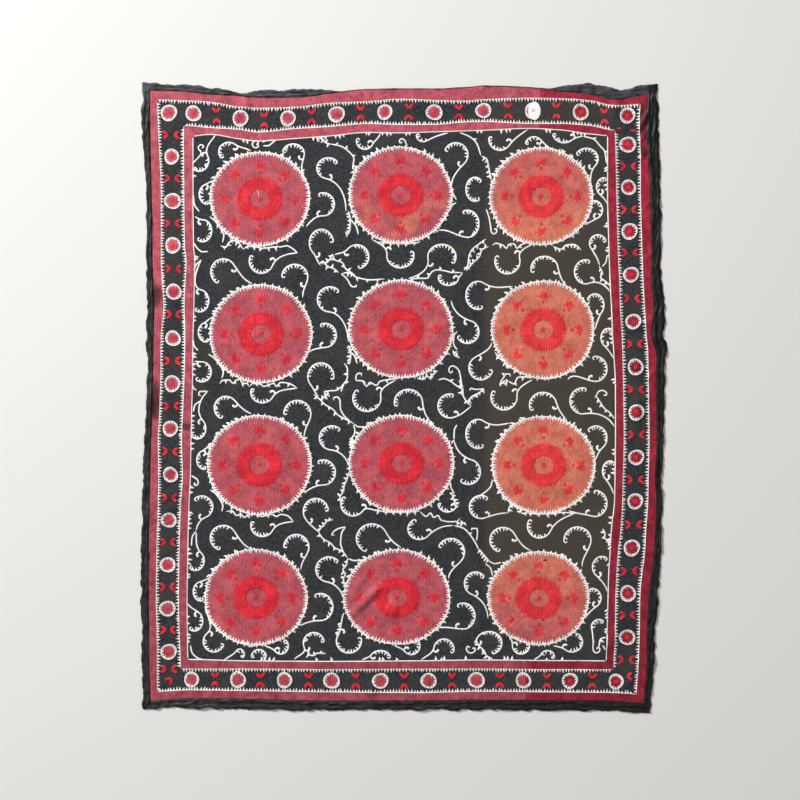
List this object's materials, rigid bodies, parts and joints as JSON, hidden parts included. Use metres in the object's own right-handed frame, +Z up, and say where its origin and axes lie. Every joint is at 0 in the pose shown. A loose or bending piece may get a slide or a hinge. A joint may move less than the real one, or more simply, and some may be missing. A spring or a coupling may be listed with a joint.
{
  "type": "suzani embroidered textile",
  "caption": "Embroidered wall cloth of sewn cotton strips with medallions, scrolls, roundel border and a dark satin edging, laid flat face up.",
  "frame": {"origin": "middle of the cloth's outline, on the surface that it lies on", "axes": "+X to the right of the design, +Y to the top of the design, +Z up, away from the surface"},
  "size_m": [2.096, 2.52, 0.012],
  "materials": {
    "ground_cloth": "plain-woven charcoal cotton, matt, faded brownish to the right",
    "silk_embroidery": "couched silk in pink, salmon, red and white, soft sheen",
    "satin_edging": "dark grey satin-faced cotton, wrinkled, with a dull gloss"
  },
  "bodies": {
    "root": {"panel_left": "ground_cloth", "panel_middle_left": "ground_cloth", "panel_middle_right": "ground_cloth", "panel_right": "ground_cloth", "edging_left": "satin_edging", "edging_right": "satin_edging", "edging_top": "satin_edging", "edging_bottom": "satin_edging"}
  },
  "joints": []
}
